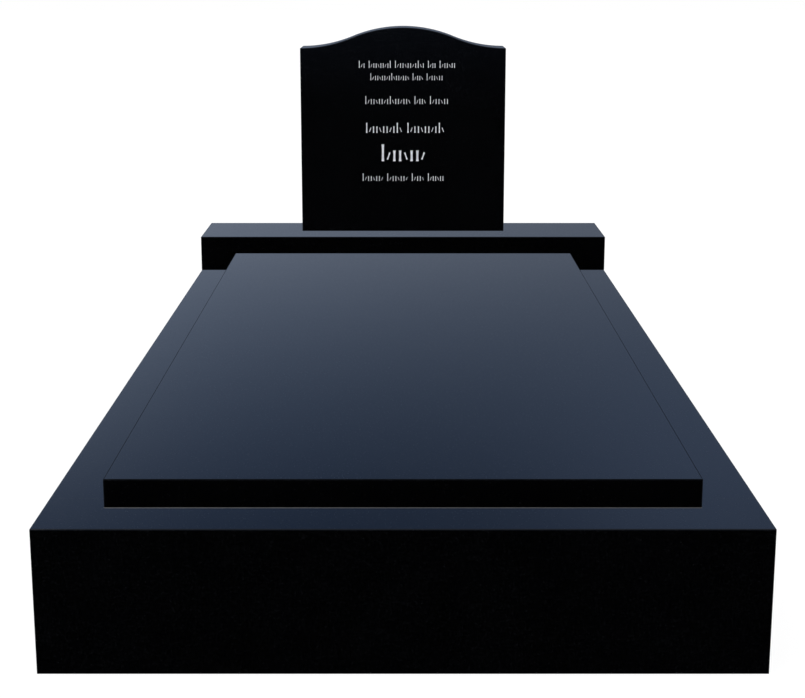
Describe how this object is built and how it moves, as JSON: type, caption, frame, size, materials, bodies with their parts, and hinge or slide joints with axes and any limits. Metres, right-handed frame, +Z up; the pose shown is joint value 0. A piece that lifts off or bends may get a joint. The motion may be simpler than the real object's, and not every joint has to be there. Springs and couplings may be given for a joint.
{
  "type": "kerbed grave memorial with upright headstone",
  "caption": "Polished black granite grave memorial: serpentine-topped upright headstone on a full-width base, with a ledger slab on a low rectangular kerb.",
  "frame": {"origin": "on the ground, at the middle of the kerb's underside", "axes": "+X to the right across the plot as seen from its foot, +Y from the foot towards the headstone, +Z up"},
  "size_m": [1.2, 2.5, 0.9576],
  "materials": {
    "headstone_granite": "polished",
    "base_granite": "polished",
    "ledger_granite": "polished",
    "kerb_granite": "polished"
  },
  "bodies": {
    "root": {"headstone": "headstone_granite", "headstone_base": "base_granite", "ledger": "ledger_granite", "kerb_head": "kerb_granite", "kerb_foot": "kerb_granite", "kerb_left": "kerb_granite", "kerb_right": "kerb_granite"}
  },
  "joints": []
}
